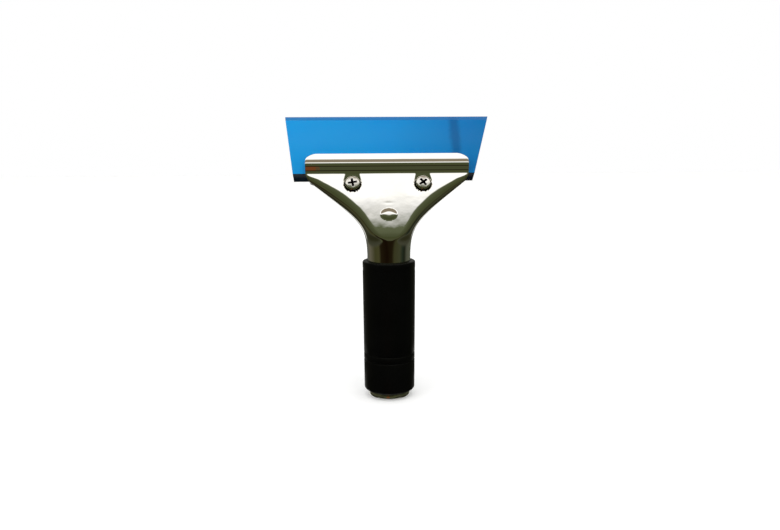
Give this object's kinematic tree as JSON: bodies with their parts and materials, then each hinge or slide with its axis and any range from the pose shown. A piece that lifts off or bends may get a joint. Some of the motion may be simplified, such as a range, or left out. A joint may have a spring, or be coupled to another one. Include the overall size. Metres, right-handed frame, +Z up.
{
  "type": "squeegee applicator",
  "caption": "Hand squeegee: a wide bevelled flexible blade clamped by two cross-head screws in a flared plated-steel head, on a round handle with a rubber grip.",
  "frame": {"origin": "centre of the flat end face of the handle", "axes": "+Z up the handle axis; -Y is the side with the screw heads; the head leans back towards +Y; X is across the blade"},
  "size_m": [0.127, 0.0564, 0.1671],
  "materials": {
    "chrome_plate": "bright chrome plate on stamped steel",
    "blue_polyurethane": "glossy cast polyurethane",
    "zinc_steel": "bright zinc plate",
    "black_rubber": "satin moulded rubber"
  },
  "bodies": {
    "handle": {"front_shell": "chrome_plate", "grip_sleeve": "black_rubber", "end_plug": "chrome_plate"},
    "clamp": {"clamp_plate": "chrome_plate", "clamp_nut_left": "zinc_steel", "clamp_nut_right": "zinc_steel"},
    "screw_left": {"clamp_screw_left": "zinc_steel"},
    "screw_right": {"clamp_screw_right": "zinc_steel"},
    "blade": {"blade": "blue_polyurethane"}
  },
  "joints": [
    {"name": "screw_left_turn", "type": "hinge", "parent": "handle", "child": "screw_left", "pos_m": [-0.0209, 0.00664, 0.12727], "axis": [0, -0.8387, 0.5446], "range_deg": [0, 1080]},
    {"name": "screw_right_turn", "type": "hinge", "parent": "handle", "child": "screw_right", "pos_m": [0.0209, 0.00664, 0.12727], "axis": [0, -0.8387, 0.5446], "range_deg": [0, 1080]},
    {"name": "clamp_open", "type": "slide", "parent": "handle", "child": "clamp", "axis": [0, 0.8387, -0.5446], "range_m": [0, 0.0024]},
    {"name": "blade_release", "type": "slide", "parent": "handle", "child": "blade", "axis": [0, 0.5446, 0.8387], "range_m": [0, 0.0128]}
  ],
  "couplings": [
    {"joint": "screw_left_turn", "follows": "clamp_open", "rad_per_m": 7853.9},
    {"joint": "screw_right_turn", "follows": "clamp_open", "rad_per_m": 7853.9}
  ]
}
